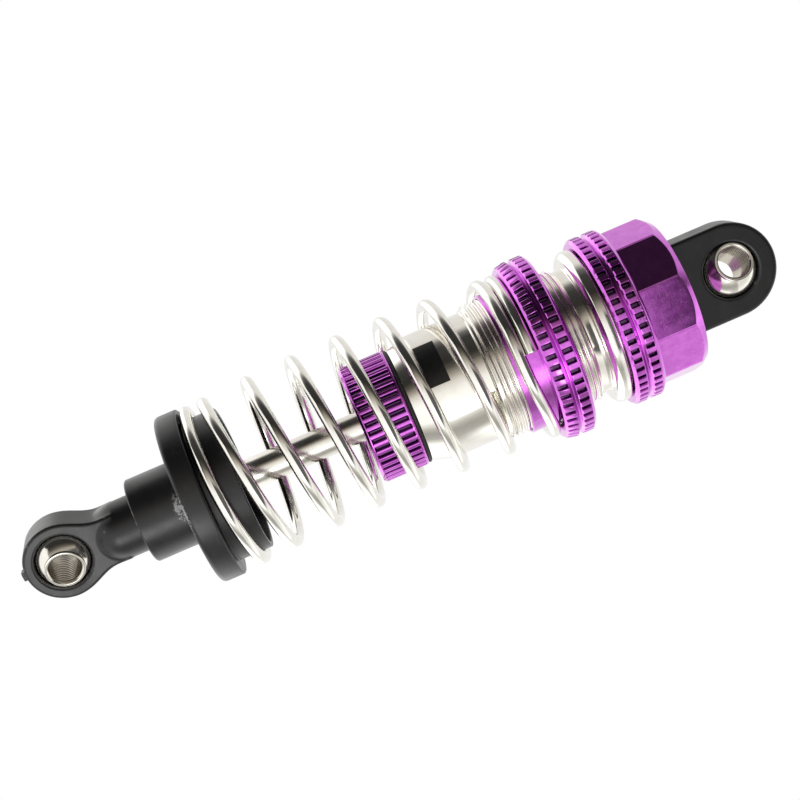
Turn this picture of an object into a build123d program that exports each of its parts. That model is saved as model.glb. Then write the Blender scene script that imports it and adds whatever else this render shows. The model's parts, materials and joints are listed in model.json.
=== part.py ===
from build123d import *

import os
from math import cos, pi, radians, sin, sqrt

# Coilover shock absorber of a 1/10 radio-controlled car, in millimetres, at full droop.
# The origin is the centre of the lower pivot ball. +Z runs along the shaft to the upper pivot
# ball. -Y is the front, the side that both eyes face.

# ---- Driving dimensions ----

eye_to_eye = 70.0

# Pivot balls, one in each eye
ball_r = 3.0
ball_neck_r = 1.95  # cylindrical end of the ball around its bore
ball_length = 5.2
ball_bore_r = 1.55  # clear hole for an M3 screw
lower_ball_turn = 32.0  # degrees about +Z from the front, towards +X
upper_ball_turn = -8.0
upper_ball_lift = 8.0  # degrees that the bore's front end points up
socket_r = 3.05
mouth_taper = 20.0  # degrees
mouth_depth = 1.0

# Lower rod end
rod_end_turn = 20.5  # degrees that its face is turned about +Z from the front, towards +X
rod_end_eye_r = 3.82
rod_end_thickness = 3.8
rod_end_web = 5.0  # width of the flat web between eye and shank
rod_end_web_fillet = 3.0
rod_end_mouth_r = 2.87
gate_width = 0.9  # moulding gate's stub on the outside of the eye
gate_height = 0.35
gate_offset = 1.0
shank_r = 2.9
shank_nose_z = 6.0  # centre of the shank's rounded end
shank_top = 11.0

# Lower spring cup
hub_r = 4.24
hub_bottom = 8.1
hub_chamfer = 1.0
cup_flange_r = 8.6
cup_flange_bottom = 13.1
cup_flange_top = 15.4
cup_lip = 0.45  # height of the flange's narrower upper lip
cup_boss_r = 7.25
cup_boss_wall = 0.6
cup_boss_top = 18.8
cup_floor_z = 14.9
cup_shank_gap = 0.05  # around and above the shank, which turns in the hub
cup_slot_width = 3.6
cup_slot_turn = 107.0  # degrees about +Z from +X, so the slot opens at the back

# Piston shaft, piston and clips
shaft_r = 1.5
shaft_thread_r = 1.25
shaft_foot = 5.4
shaft_top = 43.6
shaft_tip_chamfer = 0.2
piston_r = 5.13
piston_bottom = 39.9
piston_height = 2.4
piston_hole_r = 0.5
piston_hole_circle_r = 3.3
piston_holes = 4
clip_groove_r = 1.1
clip_groove_height = 0.5
clip_height = 0.45
clip_r = 2.6
clip_mouth = 1.9
lower_clip_z = piston_bottom - clip_groove_height
upper_clip_z = piston_bottom + piston_height

# Shock body
body_bore_r = 5.2
body_r = 6.4
body_bottom = 36.15
body_foot_r = 5.7
body_taper_top = 38.3
thread_bottom = 44.0
thread_top = 53.9
thread_major_r = 6.9
thread_minor_r = 6.6
thread_pitch = 0.55
neck_top = 54.9
body_flange_r = 7.9
body_flange_top = 56.25
body_flange_chamfer = 0.45
body_top = 60.5
cap_thread_r = 6.8
spigot_r = 4.9
spigot_bottom = 32.5
seal_bore_r = 3.2
seal_floor = 38.0
seal_floor_top = 38.7
seal_floor_hole_r = 1.8

# Blank marking panel on the body
label_thickness = 0.06
label_bottom = 38.4
label_height = 2.06
label_from_turn = 222.0  # degrees about +Z from +X
label_to_turn = 264.0

# Shaft seals, stacked upwards from the seal cap's floor
running_gap = 0.04  # radial gap around the shaft
bushing_height = 0.9
spacer_height = 0.6
seal_cord_r = (seal_bore_r - shaft_r - running_gap) / 2
seal_middle_r = seal_bore_r - seal_cord_r
bushing_bottom = spigot_bottom
bushing_top = bushing_bottom + bushing_height
lower_seal_z = bushing_top + seal_cord_r
spacer_bottom = lower_seal_z + seal_cord_r
spacer_top = spacer_bottom + spacer_height
upper_seal_z = spacer_top + seal_cord_r
guide_bottom = upper_seal_z + seal_cord_r

# Seal cap and its gasket
seal_cap_bottom = 31.1
seal_cap_top = 35.85
seal_cap_r = 5.95
seal_cap_clearance = 0.1
seal_cap_rim = 0.7  # smooth rim at each end of the teeth
seal_cap_chamfer = 0.15
seal_cap_teeth = 43
gasket_r = 5.85

# Coil spring, right-handed, with its end coils closed
wire_r = 0.6
coil_r = 7.9
active_pitch = 4.762
closed_pitch = 1.22
spring_start_turn = 140.0  # direction of the lower wire end about +Z from +X
spring_end_turn = 270.0
spring_turns = 8 + (spring_end_turn - spring_start_turn) / 360
spring_lower_closed = 0.88  # turns
spring_upper_closed = 1.25
spring_active_turns = spring_turns - spring_lower_closed - spring_upper_closed
spring_closed_turns = spring_lower_closed + spring_upper_closed
spring_gap = 0.03  # between the wire and each seat
spring_bottom = cup_flange_top + spring_gap + wire_r
spring_top = (
    spring_bottom + active_pitch * spring_active_turns + closed_pitch * spring_closed_turns
)

# Spring collar
collar_seat = spring_top + wire_r + spring_gap  # face that the spring bears on
collar_boss_height = 2.7
collar_boss_r = 7.2
collar_bore_r = 6.97
collar_r = 9.2
collar_lower_ring_height = 1.5
collar_upper_ring_height = 1.5
collar_groove_width = 0.1
collar_teeth = 54
collar_upper_ring = collar_seat + collar_lower_ring_height + collar_groove_width
collar_top = collar_upper_ring + collar_upper_ring_height
collar_oring_z = collar_seat + 1.6
oring_cord_r = 0.45
oring_gap = 0.01
oring_groove_depth = 0.9

# Top cap
cap_bottom = 56.4
cap_ring_r = 8.67
cap_ring_height = 1.5
cap_groove_width = 0.1
cap_teeth = 53
cap_upper_ring = cap_bottom + cap_ring_height + cap_groove_width
cap_rings_top = cap_upper_ring + cap_ring_height
cap_facets = 10
cap_corner_r = 8.07
cap_facet_turn = 9.0  # degrees about +Z from +X to one corner
cap_top = 64.45
cap_edge_height = 1.0  # turned cone on the top edge
cap_edge_width = 0.78
cap_shoulder = 61.1
cap_cavity_r = 5.6
cap_cavity_top = 62.9
cap_hole_r = 2.0

# Bladder
bladder_wall = 0.5
bladder_cup_r = 4.9
bladder_rim_r = 6.7
bladder_bottom = 57.0

# Upper eyelet
eyelet_turn = 12.0  # degrees that its face is turned about +Z from the front, towards +X
eyelet_width = 9.3
eyelet_thickness = 3.5
eyelet_mouth_r = 2.85
eyelet_barb_r = 2.5
eyelet_barb_height = 0.5

# Knurled rings
ring_chamfer = 0.3  # cone on both edges of each ring
ring_rim = 0.2  # smooth rim at each end of the teeth
tooth_depth = 0.38
tooth_gap_share = 0.5  # of the pitch between teeth


# ---- Helpers ----


def facing(turn, lift=0.0):
    """The direction of a face or bore turned from the front towards +X, and lifted to +Z."""
    level = cos(radians(lift))
    return Vector(level * sin(radians(turn)), -level * cos(radians(turn)), sin(radians(lift)))


def eye_plane(height, turn):
    """The mid-plane of an eye: its X runs along the shock and its Z is the eye's normal."""
    return Plane(origin=(0, 0, height), x_dir=(0, 0, 1), z_dir=facing(turn))


def turned(*points, mode=Mode.ADD):
    """Revolve a closed outline of radius and height pairs about the shock's axis."""
    with BuildSketch(Plane.XZ) as outline:
        with BuildLine():
            Polyline(*points, close=True)
        make_face()
    revolve(outline.sketch, axis=Axis.Z, mode=mode)


def ring(inner, outer, bottom, top, mode=Mode.ADD):
    """A plain ring about the shock's axis."""
    turned((inner, bottom), (outer, bottom), (outer, top), (inner, top), mode=mode)


def cord_ring(middle_r, cord_r, height):
    """A round-section rubber ring about the shock's axis."""
    with Locations((0, 0, height)):
        Torus(middle_r, cord_r)


def chamfered(radius, bottom, height):
    """The outer outline of a ring with a cone on both edges, from bottom to top."""
    narrow = radius - ring_chamfer
    top = bottom + height
    return (
        (narrow, bottom),
        (radius, bottom + ring_chamfer),
        (radius, top - ring_chamfer),
        (narrow, top),
    )


def cut_teeth(radius, bottom, height, count, rim):
    """Cut axial gaps into a ring between its rims, to leave a row of square teeth."""
    gap = 2 * pi * radius / count * tooth_gap_share
    with BuildSketch(Plane.XY.offset(bottom + rim)) as gaps:
        with PolarLocations(radius, count):
            Rectangle(2 * tooth_depth, gap)
    extrude(gaps.sketch, amount=height - 2 * rim, mode=Mode.SUBTRACT)


def ball_about(centre, direction):
    """A ball with a cylindrical neck at each end, bored through for a screw."""
    half = ball_length / 2
    shoulder = sqrt(ball_r**2 - ball_neck_r**2)
    side = Vector(0, 0, 1).cross(direction).normalized()
    with BuildSketch(Plane(origin=centre, x_dir=side, z_dir=side.cross(direction))) as outline:
        with BuildLine():
            Polyline((ball_neck_r, -shoulder), (ball_neck_r, -half), (ball_bore_r, -half))
            Line((ball_bore_r, -half), (ball_bore_r, half))
            Polyline((ball_bore_r, half), (ball_neck_r, half), (ball_neck_r, shoulder))
            ThreePointArc((ball_neck_r, shoulder), (ball_r, 0), (ball_neck_r, -shoulder))
        make_face()
    revolve(outline.sketch, axis=Axis(centre, direction))


def cut_socket(plane, thickness, mouth_r):
    """Cut a ball socket into an eye, with a conical mouth on each face."""
    with Locations(plane.origin):
        Sphere(socket_r, mode=Mode.SUBTRACT)
    for face in (plane.offset(thickness / 2), plane.offset(-thickness / 2)):
        with BuildSketch(face) as mouth:
            Circle(mouth_r)
        inward = plane.origin - face.origin
        extrude(mouth.sketch, amount=mouth_depth, dir=inward, taper=mouth_taper, mode=Mode.SUBTRACT)


def clip_about(bottom):
    """An E-clip in its groove on the piston shaft, open to the front."""
    with BuildSketch(Plane.XY.offset(bottom)) as outline:
        Circle(clip_r)
        Circle(clip_groove_r, mode=Mode.SUBTRACT)
        with Locations((0, -clip_r)):
            Rectangle(clip_mouth, 2 * clip_r, mode=Mode.SUBTRACT)
    extrude(outline.sketch, amount=clip_height)


def helix_run(bottom, turn, pitch, turns):
    """One run of the spring's centre line, from a height and a direction about +Z."""
    run = Helix(pitch=pitch, height=pitch * turns, radius=coil_r, center=(0, 0, bottom))
    return run.rotate(Axis.Z, turn).edge()


def save(piece, name):
    """Label a finished piece and write its STEP file."""
    piece.part.label = name
    export_step(piece.part, f"parts/{name}.step")


os.makedirs("parts", exist_ok=True)


# ---- Pivot balls ----

with BuildPart() as lower_pivot_ball:
    ball_about((0, 0, 0), facing(lower_ball_turn))
save(lower_pivot_ball, "lower_pivot_ball")

with BuildPart() as upper_pivot_ball:
    ball_about((0, 0, eye_to_eye), facing(upper_ball_turn, upper_ball_lift))
save(upper_pivot_ball, "upper_pivot_ball")


# ---- Lower rod end: a flat eye that runs into a round shank ----

rod_end_plane = eye_plane(0, rod_end_turn)

with BuildPart() as lower_rod_end:
    with BuildSketch(rod_end_plane):
        Circle(rod_end_eye_r)
        with Locations((shank_nose_z / 2, 0)):
            Rectangle(shank_nose_z, rod_end_web)
        fillet(vertices().sort_by(Axis.X)[:2], radius=rod_end_web_fillet)
    extrude(amount=rod_end_thickness / 2, both=True)
    with BuildSketch(Plane.XZ):
        with BuildLine():
            nose_tip = (0, shank_nose_z - shank_r)
            nose_side = (shank_r, shank_nose_z)
            CenterArc((0, shank_nose_z), shank_r, -90, 90)
            Polyline(nose_side, (shank_r, shank_top), (0, shank_top), nose_tip)
        make_face()
    revolve(axis=Axis.Z)
    with BuildSketch(rod_end_plane.offset(gate_offset)):
        with Locations((-rod_end_eye_r, 0)):
            Rectangle(2 * gate_height, gate_width)
    extrude(amount=gate_width / 2, both=True)
    cut_socket(rod_end_plane, rod_end_thickness, rod_end_mouth_r)
    with BuildSketch(Plane.XY.offset(shaft_foot)):
        Circle(shaft_thread_r)
    extrude(amount=shank_top - shaft_foot, mode=Mode.SUBTRACT)
save(lower_rod_end, "lower_rod_end")


# ---- Lower spring cup: a hub, a flange and a hollow boss, slotted to go over the shaft ----

hub_bore_r = shank_r + cup_shank_gap
hub_ceiling = shank_top + cup_shank_gap

with BuildPart() as lower_spring_cup:
    turned(
        (hub_bore_r, hub_bottom),
        (hub_r - hub_chamfer, hub_bottom),
        (hub_r, hub_bottom + hub_chamfer),
        (hub_r, cup_flange_bottom),
        (cup_flange_r, cup_flange_bottom),
        (cup_flange_r, cup_flange_top - cup_lip),
        (cup_flange_r - cup_lip / 2, cup_flange_top - cup_lip),
        (cup_flange_r - cup_lip / 2, cup_flange_top),
        (cup_boss_r, cup_flange_top),
        (cup_boss_r, cup_boss_top),
        (cup_boss_r - cup_boss_wall, cup_boss_top),
        (cup_boss_r - cup_boss_wall, cup_floor_z),
        (cup_slot_width / 2, cup_floor_z),
        (cup_slot_width / 2, hub_ceiling),
        (hub_bore_r, hub_ceiling),
    )
    with BuildSketch(Plane.XY.offset(hub_bottom)):
        with PolarLocations(cup_flange_r / 2, 1, start_angle=cup_slot_turn):
            Rectangle(cup_flange_r + cup_lip, cup_slot_width)
    extrude(amount=cup_boss_top - hub_bottom, mode=Mode.SUBTRACT)
save(lower_spring_cup, "lower_spring_cup")


# ---- Coil spring ----

lower_run = helix_run(spring_bottom, spring_start_turn, closed_pitch, spring_lower_closed)
active_run = helix_run(
    spring_bottom + closed_pitch * spring_lower_closed,
    spring_start_turn + 360 * spring_lower_closed,
    active_pitch,
    spring_active_turns,
)
upper_run = helix_run(
    spring_top - closed_pitch * spring_upper_closed,
    spring_end_turn - 360 * spring_upper_closed,
    closed_pitch,
    spring_upper_closed,
)
spring_line = Wire([lower_run, active_run, upper_run])

with BuildPart() as coil_spring:
    with BuildSketch(Plane(origin=spring_line @ 0, z_dir=spring_line % 0)):
        Circle(wire_r)
    sweep(path=spring_line, is_frenet=True, transition=Transition.TRANSFORMED)
save(coil_spring, "coil_spring")


# ---- Piston shaft, piston and clips ----

with BuildPart() as piston_shaft:
    turned(
        (0, shaft_foot),
        (shaft_thread_r, shaft_foot),
        (shaft_thread_r, shank_top),
        (shaft_r, shank_top),
        (shaft_r, lower_clip_z),
        (clip_groove_r, lower_clip_z),
        (clip_groove_r, lower_clip_z + clip_groove_height),
        (shaft_r, lower_clip_z + clip_groove_height),
        (shaft_r, upper_clip_z),
        (clip_groove_r, upper_clip_z),
        (clip_groove_r, upper_clip_z + clip_groove_height),
        (shaft_r, upper_clip_z + clip_groove_height),
        (shaft_r, shaft_top),
        (0, shaft_top),
    )
    chamfer(edges().filter_by(GeomType.CIRCLE).group_by(Axis.Z)[-1], length=shaft_tip_chamfer)
save(piston_shaft, "piston_shaft")

with BuildPart() as piston:
    with BuildSketch(Plane.XY.offset(piston_bottom)):
        Circle(piston_r)
        Circle(shaft_r, mode=Mode.SUBTRACT)
        with PolarLocations(piston_hole_circle_r, piston_holes):
            Circle(piston_hole_r, mode=Mode.SUBTRACT)
    extrude(amount=piston_height)
save(piston, "piston")

with BuildPart() as lower_piston_clip:
    clip_about(lower_clip_z)
save(lower_piston_clip, "lower_piston_clip")

with BuildPart() as upper_piston_clip:
    clip_about(upper_clip_z)
save(upper_piston_clip, "upper_piston_clip")


# ---- Shock body: a threaded tube with a seal housing below and a cap thread above ----

thread_turns = round((thread_top - thread_bottom) / thread_pitch)
thread_outline = []
for turn in range(thread_turns):
    root = thread_bottom + turn * thread_pitch
    thread_outline += [(thread_minor_r, root), (thread_major_r, root + thread_pitch / 2)]

with BuildPart() as shock_body:
    turned(
        (seal_bore_r, spigot_bottom),
        (spigot_r, spigot_bottom),
        (spigot_r, body_bottom),
        (body_foot_r, body_bottom),
        (body_r, body_taper_top),
        (body_r, thread_bottom),
        *thread_outline,
        (thread_minor_r, thread_top),
        (body_r, thread_top),
        (body_r, neck_top),
        (body_flange_r - body_flange_chamfer, neck_top),
        (body_flange_r, neck_top + body_flange_chamfer),
        (body_flange_r, body_flange_top),
        (cap_thread_r, body_flange_top),
        (cap_thread_r, body_top),
        (body_bore_r, body_top),
        (body_bore_r, seal_floor_top),
        (seal_floor_hole_r, seal_floor_top),
        (seal_floor_hole_r, seal_floor),
        (seal_bore_r, seal_floor),
    )
save(shock_body, "shock_body")

with BuildPart() as body_label:
    with BuildSketch(Plane.XY.offset(label_bottom)):
        with BuildLine():
            inner = CenterArc((0, 0), body_r, label_from_turn, label_to_turn - label_from_turn)
            outer = CenterArc(
                (0, 0), body_r + label_thickness, label_from_turn, label_to_turn - label_from_turn
            )
            Line(inner @ 0, outer @ 0)
            Line(inner @ 1, outer @ 1)
        make_face()
    extrude(amount=label_height)
save(body_label, "body_label")


# ---- Shaft seals, stacked in the body's lower end ----

with BuildPart() as shaft_bushing:
    ring(shaft_r + running_gap, seal_bore_r, bushing_bottom, bushing_top)
save(shaft_bushing, "shaft_bushing")

with BuildPart() as lower_shaft_seal:
    cord_ring(seal_middle_r, seal_cord_r, lower_seal_z)
save(lower_shaft_seal, "lower_shaft_seal")

with BuildPart() as seal_spacer:
    ring(shaft_r + running_gap, seal_bore_r, spacer_bottom, spacer_top)
save(seal_spacer, "seal_spacer")

with BuildPart() as upper_shaft_seal:
    cord_ring(seal_middle_r, seal_cord_r, upper_seal_z)
save(upper_shaft_seal, "upper_shaft_seal")

with BuildPart() as seal_guide:
    ring(shaft_r + running_gap, seal_bore_r, guide_bottom, seal_floor)
save(seal_guide, "seal_guide")

with BuildPart() as seal_cap:
    turned(
        (shaft_r + seal_cap_clearance, seal_cap_bottom),
        (seal_cap_r, seal_cap_bottom),
        (seal_cap_r, seal_cap_top),
        (spigot_r, seal_cap_top),
        (spigot_r, spigot_bottom),
        (shaft_r + seal_cap_clearance, spigot_bottom),
    )
    seal_cap_height = seal_cap_top - seal_cap_bottom
    cut_teeth(seal_cap_r, seal_cap_bottom, seal_cap_height, seal_cap_teeth, seal_cap_rim)
    chamfer(edges().filter_by(GeomType.CIRCLE).sort_by(SortBy.RADIUS)[-2:], length=seal_cap_chamfer)
save(seal_cap, "seal_cap")

with BuildPart() as seal_gasket:
    ring(spigot_r, gasket_r, seal_cap_top, body_bottom)
save(seal_gasket, "seal_gasket")


# ---- Spring collar and the O-ring that holds its setting ----

with BuildPart() as spring_collar:
    turned(
        (collar_bore_r, collar_seat - collar_boss_height),
        (collar_boss_r, collar_seat - collar_boss_height),
        (collar_boss_r, collar_seat),
        *chamfered(collar_r, collar_seat, collar_lower_ring_height),
        *chamfered(collar_r, collar_upper_ring, collar_upper_ring_height),
        (collar_bore_r, collar_top),
    )
    ring(
        collar_bore_r,
        collar_bore_r + oring_groove_depth,
        collar_oring_z - oring_cord_r,
        collar_oring_z + oring_cord_r,
        mode=Mode.SUBTRACT,
    )
    cut_teeth(collar_r, collar_seat, collar_lower_ring_height, collar_teeth, ring_rim)
    cut_teeth(collar_r, collar_upper_ring, collar_upper_ring_height, collar_teeth, ring_rim)
save(spring_collar, "spring_collar")

with BuildPart() as collar_oring:
    cord_ring(collar_bore_r + oring_cord_r, oring_cord_r - oring_gap, collar_oring_z)
save(collar_oring, "collar_oring")


# ---- Top cap, bladder and upper eyelet ----

with BuildPart() as top_cap:
    turned(
        (0, cap_bottom),
        *chamfered(cap_ring_r, cap_bottom, cap_ring_height),
        *chamfered(cap_ring_r, cap_upper_ring, cap_ring_height),
        (0, cap_rings_top),
    )
    cut_teeth(cap_ring_r, cap_bottom, cap_ring_height, cap_teeth, ring_rim)
    cut_teeth(cap_ring_r, cap_upper_ring, cap_ring_height, cap_teeth, ring_rim)
    with BuildSketch(Plane.XY.offset(cap_rings_top)):
        RegularPolygon(cap_corner_r, cap_facets, rotation=cap_facet_turn)
    extrude(amount=cap_top - cap_rings_top)
    turned(
        (cap_corner_r - cap_edge_width, cap_top),
        (cap_ring_r, cap_top),
        (cap_ring_r, cap_top - cap_edge_height),
        (cap_corner_r, cap_top - cap_edge_height),
        mode=Mode.SUBTRACT,
    )
    turned(
        (0, cap_bottom),
        (cap_thread_r, cap_bottom),
        (cap_thread_r, cap_shoulder),
        (cap_cavity_r, cap_shoulder),
        (cap_cavity_r, cap_cavity_top),
        (cap_hole_r, cap_cavity_top),
        (cap_hole_r, cap_top),
        (0, cap_top),
        mode=Mode.SUBTRACT,
    )
save(top_cap, "top_cap")

with BuildPart() as bladder:
    turned(
        (0, bladder_bottom),
        (bladder_cup_r, bladder_bottom),
        (bladder_cup_r, body_top),
        (bladder_rim_r, body_top),
        (bladder_rim_r, cap_shoulder),
        (bladder_cup_r - bladder_wall, cap_shoulder),
        (bladder_cup_r - bladder_wall, bladder_bottom + bladder_wall),
        (0, bladder_bottom + bladder_wall),
    )
save(bladder, "bladder")

eyelet_plane = eye_plane(eye_to_eye, eyelet_turn)
eyelet_foot = eye_to_eye - cap_top

with BuildPart() as upper_eyelet:
    with BuildSketch(eyelet_plane):
        Circle(eyelet_width / 2)
        with Locations((-eyelet_foot / 2, 0)):
            Rectangle(eyelet_foot, eyelet_width)
    extrude(amount=eyelet_thickness / 2, both=True)
    turned(
        (0, cap_cavity_top - eyelet_barb_height),
        (eyelet_barb_r, cap_cavity_top - eyelet_barb_height),
        (eyelet_barb_r, cap_cavity_top),
        (cap_hole_r, cap_cavity_top),
        (cap_hole_r, cap_top),
        (0, cap_top),
    )
    cut_socket(eyelet_plane, eyelet_thickness, eyelet_mouth_r)
save(upper_eyelet, "upper_eyelet")
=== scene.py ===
import json
from math import atan2, ceil, cos, pi, radians, sin, sqrt, tau

import bmesh
import bpy
import numpy as np
from mathutils import Matrix, Vector

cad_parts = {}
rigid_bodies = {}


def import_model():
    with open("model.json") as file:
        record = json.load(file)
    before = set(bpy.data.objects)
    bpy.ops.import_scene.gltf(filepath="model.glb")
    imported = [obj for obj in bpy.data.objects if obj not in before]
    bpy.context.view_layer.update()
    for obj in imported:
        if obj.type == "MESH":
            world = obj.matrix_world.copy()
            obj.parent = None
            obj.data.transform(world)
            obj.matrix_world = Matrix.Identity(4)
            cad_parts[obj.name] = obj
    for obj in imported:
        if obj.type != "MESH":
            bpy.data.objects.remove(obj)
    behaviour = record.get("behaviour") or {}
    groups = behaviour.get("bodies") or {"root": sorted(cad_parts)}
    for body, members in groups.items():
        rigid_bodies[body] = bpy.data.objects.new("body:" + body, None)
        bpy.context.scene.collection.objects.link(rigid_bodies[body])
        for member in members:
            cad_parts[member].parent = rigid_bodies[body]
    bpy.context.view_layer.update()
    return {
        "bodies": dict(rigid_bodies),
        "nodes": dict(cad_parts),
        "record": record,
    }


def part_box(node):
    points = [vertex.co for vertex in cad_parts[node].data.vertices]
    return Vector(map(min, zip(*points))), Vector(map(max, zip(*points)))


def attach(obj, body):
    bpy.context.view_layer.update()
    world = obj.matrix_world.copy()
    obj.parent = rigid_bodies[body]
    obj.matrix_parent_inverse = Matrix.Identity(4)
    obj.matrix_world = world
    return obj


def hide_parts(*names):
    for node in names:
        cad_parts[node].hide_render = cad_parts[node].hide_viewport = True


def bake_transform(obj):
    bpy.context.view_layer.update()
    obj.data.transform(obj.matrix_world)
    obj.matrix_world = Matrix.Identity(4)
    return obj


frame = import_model()

MM = 0.001
mounts = {mount["name"]: mount for mount in frame["record"]["mounts"]}


def heights(node):
    """Lowest and highest point of a CAD node, in millimetres."""
    low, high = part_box(node)
    return low.z / MM, high.z / MM


# ---- Sizes, in millimetres, of what the frame's boxes don't give ----

eye_to_eye = 70.0

ball_r = 3.0
ball_neck_r = 1.95
ball_half = 2.6
ball_bore_r = 1.55
ball_bore_chamfer = 0.16
ball_mark_pitch = 0.15  # of the turning marks in its bore
ball_mark_depth = 0.04
socket_r = 3.05

rod_end_turn = 20.5  # degrees from the front towards +X
rod_end_eye_r = 3.82
rod_end_half = 1.9
rod_end_web = 5.0
rod_end_mouth_r = 2.87
shank_r = 2.9
shank_nose_z = 6.0
shaft_thread_r = 1.25
shaft_hole_floor = 5.4

eyelet_turn = 12.0
eyelet_half_width = 4.65
eyelet_half = 1.75
eyelet_mouth_r = 2.85
eyelet_stub_r = 2.0
eyelet_barb_r = 2.5
eyelet_barb_height = 0.5

hub_r = 4.24
hub_gap = 0.05
hub_chamfer = 0.14
cup_flange_r = 8.6
cup_flange_bottom = 13.1
cup_flange_top = 15.4
cup_flange_chamfer = 0.12
cup_boss_r = 7.25
cup_boss_wall = 0.5
cup_floor = 14.9
cup_slot_half = 1.8
cup_slot_flare = 0.7
cup_slot_turn = 107.0

shaft_r = 1.5

body_bore_r = 5.2
body_r = 6.4
body_foot_r = 5.7
body_bottom = 36.15
body_taper_top = 38.3
thread_bottom = 44.0
thread_top = 53.9
thread_pitch = 0.55
thread_major_r = 6.9
thread_minor_r = 6.6
neck_top = 54.9
body_flange_r = 7.9
body_flange_top = 56.25
cap_thread_r = 6.8
seal_spigot_r = 4.9
seal_bore_r = 3.2
seal_floor = 38.0
seal_floor_top = 38.7
seal_floor_hole_r = 1.8

seal_cap_r = 5.95
seal_cap_hole_r = 1.6
seal_cap_floor = 32.5
seal_cap_chamfers = (0.25, 0.15)  # at its bottom and top
seal_cap_gaps = (0.32, 0.3)  # from its bottom and top to the ends of its tooth gaps
seal_cap_teeth = 43
seal_cap_tooth_turn = -1.1
gasket_r = 5.85

wire_r = 0.6
coil_r = 7.92
spring_turns = 8.361
spring_start_turn = 140.0
spring_lower_closed = 0.8
spring_upper_closed = 1.2
closed_pitch = 1.22
spring_blend_turns = 0.24  # over which the pitch changes
spring_last_coil = 1.25  # pitch of the last open coil, as a share of the others'
spring_last_coil_turns = 2.35  # from the upper end, where that coil starts
spring_flat_turns = 0.87  # of the upper end, flat against the collar
spring_foot_lift = 0.6  # of the first coil off the flange, at about two thirds of a turn
spring_bow = 0.6  # sideways, as a spring that isn't guided along its length bows

collar_r = 9.2
collar_boss_r = 7.2
collar_bore_r = 6.97
collar_seat = 48.87
collar_lower_ring = 1.5
collar_upper_ring = 1.5
collar_lower_chamfer = 0.45
collar_lower_gaps = (0.1, 0.28)  # the same, for each ring
collar_upper_gaps = (0.18, 0.32)
collar_teeth = 54
collar_tooth_turn = 0.0

cap_ring_r = 8.67
cap_ring_height = 1.5
cap_lower_gaps = (0.28, 0.36)
cap_upper_gaps = (0.2, 0.44)
cap_teeth = 53
cap_tooth_turn = -0.3
cap_facets = 10
cap_corner_r = 8.07
cap_facet_turn = 9.0
cap_edge_height = 1.0
cap_edge_width = 0.78
cap_shoulder = 61.1
cap_cavity_r = 5.6
cap_cavity_top = 62.9
cap_hole_r = 2.0

ring_groove = 0.1
ring_chamfer = 0.3
tooth_depth = 0.42

gate_reach = 0.35  # of the moulding mark under the rod end
gate_half = 0.45
moulded_cell = 0.1  # of the grid on which moulded shapes are found


# ---- Mesh helpers ----


def facing(turn):
    """The direction turned from the front towards +X."""
    return Vector((sin(radians(turn)), -cos(radians(turn)), 0))


def shown_object(name, vertices, faces, material, sharp, recess_shade=None):
    """A clean, smooth-shaded mesh object. Its last argument is how deep in a tooth gap or a bore each vertex
    is, which the materials use to paint shade there.
    """
    mesh = bpy.data.meshes.new(name)
    mesh.from_pydata((np.asarray(vertices) * MM).tolist(), [], [list(f) for f in faces])
    if recess_shade is not None:
        mesh.attributes.new("recess_shade", "FLOAT", "POINT").data.foreach_set("value", recess_shade.astype(np.float32))
    tidy = bmesh.new()
    tidy.from_mesh(mesh)
    bmesh.ops.remove_doubles(tidy, verts=tidy.verts, dist=2e-7)
    bmesh.ops.dissolve_degenerate(tidy, edges=tidy.edges, dist=2e-7)
    bmesh.ops.recalc_face_normals(tidy, faces=tidy.faces)
    tidy.to_mesh(mesh)
    tidy.free()
    mesh.shade_smooth()
    mesh.set_sharp_from_angle(angle=radians(sharp))
    mesh.materials.append(material)
    made = bpy.data.objects.new(name, mesh)
    bpy.context.scene.collection.objects.link(made)
    return made


def piece_from(name, vertices, faces, body, material, stands_for=(), sharp=38, recess_shade=None):
    """A mesh piece that rides on a CAD body and stands for CAD nodes."""
    piece = shown_object(name, vertices, faces, material, sharp, recess_shade)
    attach(piece, body)
    if stands_for:
        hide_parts(*stands_for)
    return piece


def soften(corners, steps=4):
    """Round a closed outline of (radius, height, rounding, share) corners. The last two may be left out."""
    full = [tuple(c) + (0.06, 0.0)[len(c) - 2:] for c in corners]
    out = []
    for i, (r, z, rounding, share) in enumerate(full):
        here = np.array((r, z))
        before = np.array(full[i - 1][:2]) - here
        after = np.array(full[(i + 1) % len(full)][:2]) - here
        reach = min(rounding, 0.45 * np.linalg.norm(before), 0.45 * np.linalg.norm(after))
        if reach < 1e-4:
            out.append((r, z, share))
            continue
        start = here + before / np.linalg.norm(before) * reach
        end = here + after / np.linalg.norm(after) * reach
        for s in np.linspace(0, 1, steps + 1):
            point = (1 - s) ** 2 * start + 2 * s * (1 - s) * here + s**2 * end
            out.append((point[0], point[1], share))
    return np.array(out)


def grid_faces(rows, columns, closed_rows=True):
    """Quads of a grid of rows by columns, numbered column by column."""
    last = rows if closed_rows else rows - 1
    return [
        (c * rows + r, (c + 1) * rows + r, (c + 1) * rows + (r + 1) % rows, c * rows + (r + 1) % rows)
        for c in range(columns - 1)
        for r in range(last)
    ]


def around(turns, radii, levels):
    """Grid vertices from turn angles and from the radius and height of each row at each turn."""
    x = radii * np.cos(turns)[:, None]
    y = radii * np.sin(turns)[:, None]
    return np.stack((x, y, levels), axis=-1).reshape(-1, 3)


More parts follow.
